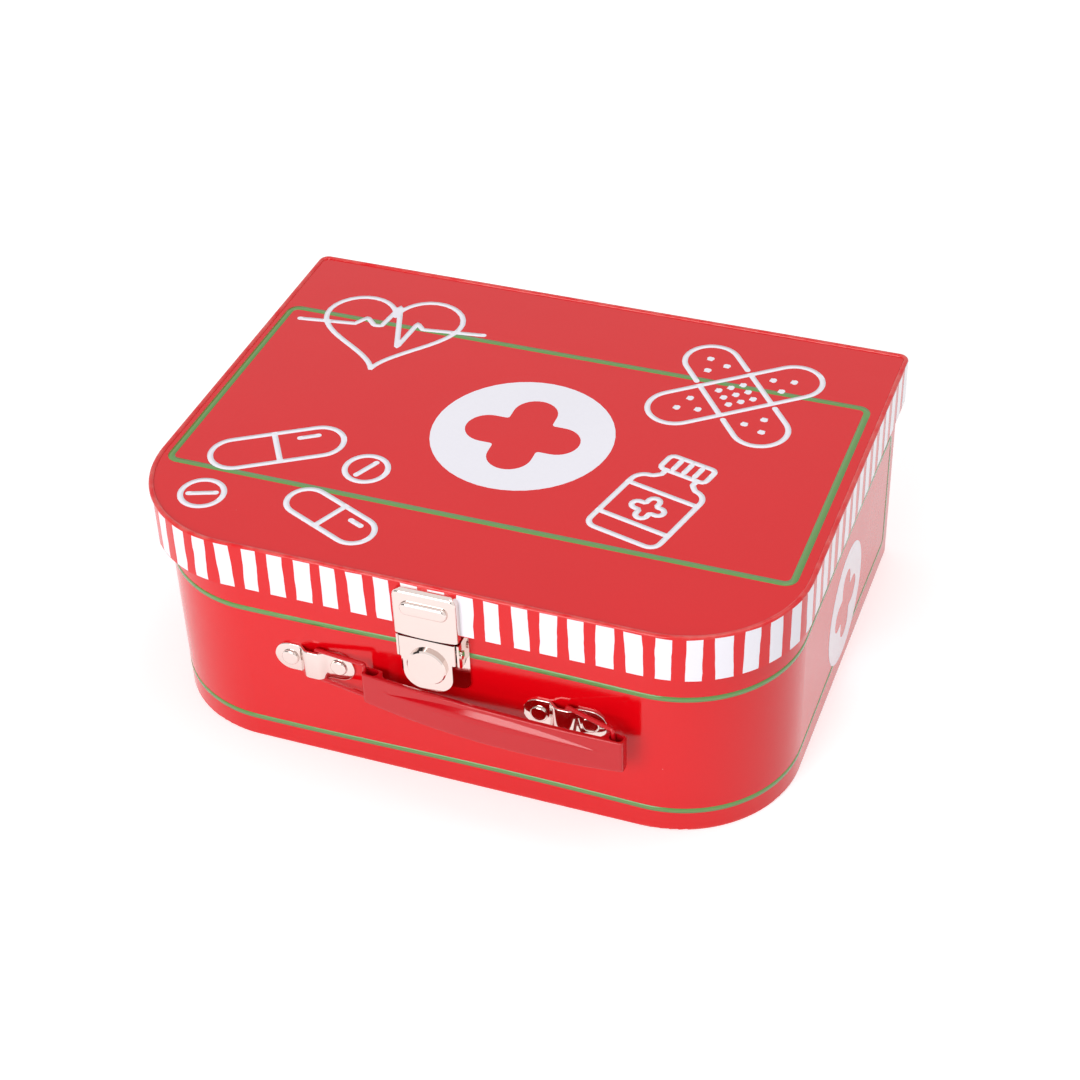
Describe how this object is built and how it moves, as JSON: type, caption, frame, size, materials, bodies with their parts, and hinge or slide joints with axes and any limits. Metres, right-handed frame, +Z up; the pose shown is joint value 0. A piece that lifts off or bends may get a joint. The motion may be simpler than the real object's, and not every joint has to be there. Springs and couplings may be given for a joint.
{
  "type": "toy doctor case",
  "caption": "Red paperboard toy suitcase with rounded front corners, a striped telescoping lid, a press-button spring latch and a swing handle on wire rings.",
  "frame": {"origin": "middle of the lid's footprint, on the floor that the case stands on", "axes": "+X along the width, the latch and handle face -Y, +Z up"},
  "size_m": [0.25, 0.2013, 0.0955],
  "materials": {
    "red_board": "smooth glossy laminated paper over board, printed",
    "lining_paper": "matt white lining paper",
    "hinge_cloth": "red bookbinding cloth",
    "nickel": "polished nickel plate",
    "spring_steel": "bright spring wire",
    "red_wire": "glossy red enamel on steel wire",
    "red_grip": "glossy red plastic"
  },
  "bodies": {
    "base": {"base_wall": "red_board", "base_rear_wall": "red_board", "base_floor": "red_board", "base_floor_lining": "lining_paper", "base_wall_lining": "lining_paper", "hinge_leaf_base": "hinge_cloth", "latch_base_plate": "nickel", "latch_pin": "nickel", "latch_spring": "spring_steel", "latch_rivets": "nickel", "latch_washers": "nickel", "handle_clip_left": "nickel", "handle_clip_right": "nickel", "handle_rivets": "nickel", "handle_washers": "nickel"},
    "lid": {"lid_rim": "red_board", "lid_top": "red_board", "lid_lining": "lining_paper", "hinge_leaf_lid": "hinge_cloth", "latch_cap": "nickel", "latch_catch": "nickel", "catch_rivets": "nickel", "catch_washers": "nickel"},
    "latch_lever": {"latch_lever": "nickel", "latch_button": "nickel"},
    "handle_ring_left": {"handle_ring_left": "red_wire"},
    "handle_ring_right": {"handle_ring_right": "red_wire"},
    "handle_grip": {"handle_grip": "red_grip"}
  },
  "joints": [
    {"name": "lid_hinge", "type": "hinge", "parent": "base", "child": "lid", "pos_m": [0, 0.0954, 0.0762], "axis": [-1, 0, 0], "range_deg": [0, 175]},
    {"name": "latch_press", "type": "hinge", "parent": "base", "child": "latch_lever", "pos_m": [0, -0.0946, 0.0675], "axis": [1, 0, 0], "range_deg": [0, 14], "stiffness_Nm_per_rad": 0.02, "springref_deg": -20.05, "deforming": ["latch_spring"]},
    {"name": "handle_swing_left", "type": "hinge", "parent": "base", "child": "handle_ring_left", "pos_m": [-0.0482, -0.0917, 0.045], "axis": [0, 0, -1], "range_deg": [-2.5, 84]},
    {"name": "handle_swing_right", "type": "hinge", "parent": "base", "child": "handle_ring_right", "pos_m": [0.0482, -0.0917, 0.045], "axis": [0, 0, -1], "range_deg": [-2.16, 72.47]},
    {"name": "grip_turn", "type": "hinge", "parent": "handle_ring_left", "child": "handle_grip", "pos_m": [-0.02443, -0.09504, 0.045], "axis": [0, 0, -1], "range_deg": [-87.38, 2.6]}
  ],
  "couplings": [
    {"joint": "handle_swing_right", "follows": "handle_swing_left", "ratio": 0.8627},
    {"joint": "grip_turn", "follows": "handle_swing_left", "ratio": -1.0402}
  ]
}
